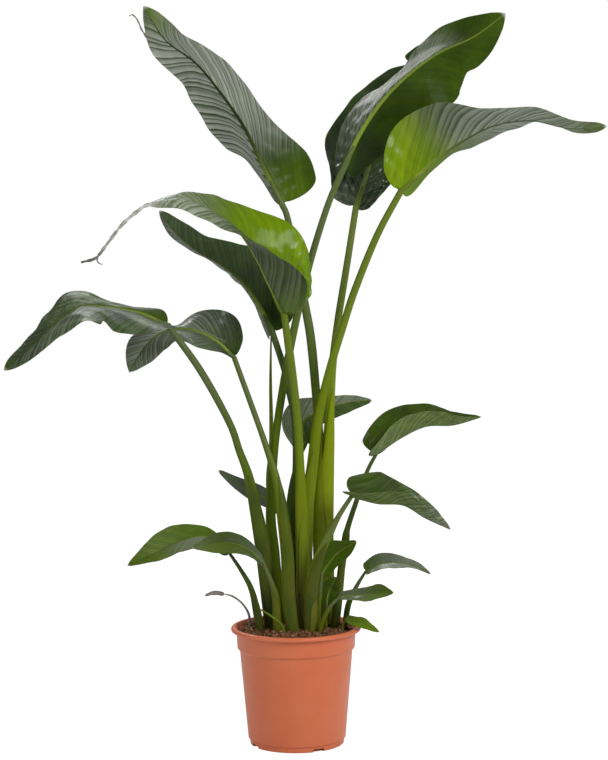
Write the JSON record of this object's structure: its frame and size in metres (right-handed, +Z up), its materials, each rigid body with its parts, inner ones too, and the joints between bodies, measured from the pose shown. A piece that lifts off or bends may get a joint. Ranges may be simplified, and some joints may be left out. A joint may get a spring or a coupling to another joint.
{
  "type": "potted bird of paradise plant",
  "caption": "Tall potted foliage plant with long broad paddle-shaped leaves on upright stalks, rising from soil in a round tapered plastic nursery pot.",
  "frame": {"origin": "centre of the pot's underside, on the floor", "axes": "+Z up along the pot's axis, +X to the right and -Y towards the front"},
  "size_m": [1.1002, 0.4307, 1.3999],
  "materials": {
    "pot_plastic": "terracotta-coloured moulded plastic, faintly scuffed",
    "potting_soil": "loose brown potting soil with fibres",
    "leaf": "smooth waxy green leaf, paler beneath",
    "stalk": "smooth green leaf stalk",
    "dry_leaf": "withered, papery"
  },
  "bodies": {
    "root": {"pot": "pot_plastic", "soil": "potting_soil", "leaf_1_blade": "leaf", "leaf_1_stalk": "stalk", "leaf_2_blade": "leaf", "leaf_2_stalk": "stalk", "leaf_3_blade": "leaf", "leaf_3_stalk": "stalk", "leaf_4_blade": "leaf", "leaf_4_stalk": "stalk", "leaf_5_blade": "leaf", "leaf_5_stalk": "stalk", "leaf_6_blade": "leaf", "leaf_6_stalk": "stalk", "leaf_7_blade": "leaf", "leaf_7_stalk": "stalk", "leaf_8_blade": "leaf", "leaf_8_stalk": "stalk", "leaf_9_blade": "leaf", "leaf_9_stalk": "stalk", "leaf_10_blade": "leaf", "leaf_10_stalk": "stalk", "leaf_11_blade": "leaf", "leaf_11_stalk": "stalk", "leaf_12_blade": "leaf", "leaf_12_stalk": "stalk", "leaf_13_blade": "leaf", "leaf_13_stalk": "stalk", "leaf_14_blade": "leaf", "leaf_14_stalk": "stalk", "leaf_15_blade": "leaf", "leaf_15_stalk": "stalk", "leaf_16_blade": "leaf", "leaf_16_stalk": "stalk", "leaf_17_blade": "leaf", "leaf_17_stalk": "stalk", "leaf_18_blade": "leaf", "leaf_18_stalk": "stalk", "leaf_19_blade": "leaf", "leaf_19_stalk": "stalk", "dry_leaf_blade": "dry_leaf", "dry_leaf_stalk": "dry_leaf", "spear_leaf": "stalk", "side_shoot": "stalk"}
  },
  "joints": []
}
